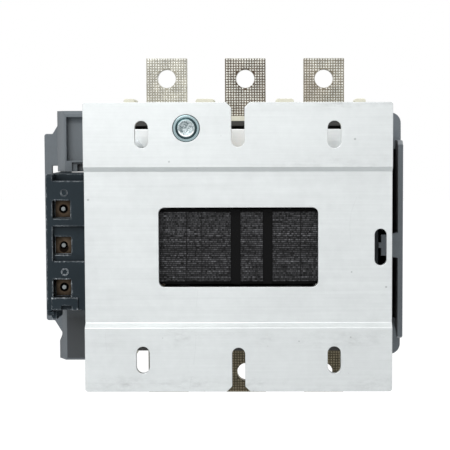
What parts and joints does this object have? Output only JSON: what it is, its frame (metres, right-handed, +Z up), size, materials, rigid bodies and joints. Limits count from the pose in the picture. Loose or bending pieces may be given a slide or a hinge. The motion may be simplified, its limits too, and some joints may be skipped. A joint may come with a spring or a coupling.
{
  "type": "magnetic contactor",
  "caption": "Large three-pole magnetic contactor on a flat rear mounting plate, with knurled terminal bars, a magnet window, a side coil terminal block and a working armature.",
  "frame": {"origin": "centre of the four fixing slots, on the rear mounting plane", "axes": "+Z up as mounted, +Y from the wall to the contactor's front, +X to the right when it is seen from behind"},
  "size_m": [0.2113, 0.219, 0.206],
  "materials": {
    "plate_aluminium": "satin, finely brushed",
    "zinc_steel": "bright zinc plating",
    "core_steel": "dark varnished laminations",
    "copper": "bare copper",
    "tinned_copper": "tin plating with a fine knurl on the back",
    "silver": "satin silver",
    "brass_clamp": "dull brass",
    "grey_plastic": "fine moulded texture",
    "block_plastic": "fine moulded texture, worn edges",
    "dark_plastic": "moulded",
    "cream_plastic": "moulded",
    "black_plastic": "moulded",
    "coil_tape": "wound insulating tape",
    "black_rubber": "moulded",
    "spring_steel": "drawn wire",
    "splitter_steel": "pickled sheet",
    "red_plastic": "moulded"
  },
  "bodies": {
    "base": {"mounting_plate": "plate_aluminium", "earth_stud": "zinc_steel", "earth_washer": "zinc_steel", "earth_nut": "zinc_steel", "core_pads": "black_rubber", "fixed_core": "core_steel", "core_keys": "core_steel", "core_cheek_plates": "core_steel", "core_rivets": "zinc_steel", "core_pins": "zinc_steel", "pin_sleeves": "black_rubber", "core_brackets": "zinc_steel", "bracket_nuts": "zinc_steel", "shading_rings": "copper", "coil_bobbin": "black_plastic", "coil_winding": "coil_tape", "coil_links": "brass_clamp", "terminal_block": "block_plastic", "clamp_plates": "brass_clamp", "clamp_screws": "zinc_steel", "frame_columns": "zinc_steel", "magnet_frame": "plate_aluminium", "frame_screws": "zinc_steel", "housing_screws": "zinc_steel", "return_springs": "spring_steel", "main_housing": "dark_plastic", "left_side_housing": "grey_plastic", "right_side_housing": "grey_plastic", "side_screws": "zinc_steel", "pole_base": "cream_plastic", "base_screws": "zinc_steel", "fixed_tips": "silver", "bar_screws": "zinc_steel", "splitter_plates": "splitter_steel", "arc_cover": "dark_plastic", "cover_screws": "zinc_steel", "left_front_housing": "grey_plastic", "line_terminal_1": "tinned_copper", "load_terminal_1": "tinned_copper", "line_terminal_2": "tinned_copper", "load_terminal_2": "tinned_copper", "line_terminal_3": "tinned_copper", "load_terminal_3": "tinned_copper"},
    "carrier": {"contact_carrier": "black_plastic", "armature": "core_steel", "armature_rivets": "zinc_steel", "armature_pin": "zinc_steel", "armature_pad": "black_rubber", "position_indicator": "red_plastic", "contact_spring_1": "spring_steel", "contact_spring_2": "spring_steel", "contact_spring_3": "spring_steel"},
    "moving_bridge_1": {"bridge_1": "copper", "bridge_tips_1": "silver"},
    "moving_bridge_2": {"bridge_2": "copper", "bridge_tips_2": "silver"},
    "moving_bridge_3": {"bridge_3": "copper", "bridge_tips_3": "silver"}
  },
  "joints": [
    {"name": "armature_travel", "type": "slide", "parent": "base", "child": "carrier", "axis": [0, -1, 0], "range_m": [0, 0.0088], "stiffness_N_per_m": 4500, "springref_m": -0.013, "deforming": ["return_springs"]},
    {"name": "bridge_travel_1", "type": "slide", "parent": "carrier", "child": "moving_bridge_1", "axis": [0, 1, 0], "range_m": [0, 0.0022], "stiffness_N_per_m": 5000, "springref_m": -0.005, "deforming": ["contact_spring_1"]},
    {"name": "bridge_travel_2", "type": "slide", "parent": "carrier", "child": "moving_bridge_2", "axis": [0, 1, 0], "range_m": [0, 0.0022], "stiffness_N_per_m": 5000, "springref_m": -0.005, "deforming": ["contact_spring_2"]},
    {"name": "bridge_travel_3", "type": "slide", "parent": "carrier", "child": "moving_bridge_3", "axis": [0, 1, 0], "range_m": [0, 0.0022], "stiffness_N_per_m": 5000, "springref_m": -0.005, "deforming": ["contact_spring_3"]}
  ],
  "couplings": [
    {"joint": "bridge_travel_1", "follows": "armature_travel", "ratio": 0.25},
    {"joint": "bridge_travel_2", "follows": "armature_travel", "ratio": 0.25},
    {"joint": "bridge_travel_3", "follows": "armature_travel", "ratio": 0.25}
  ]
}
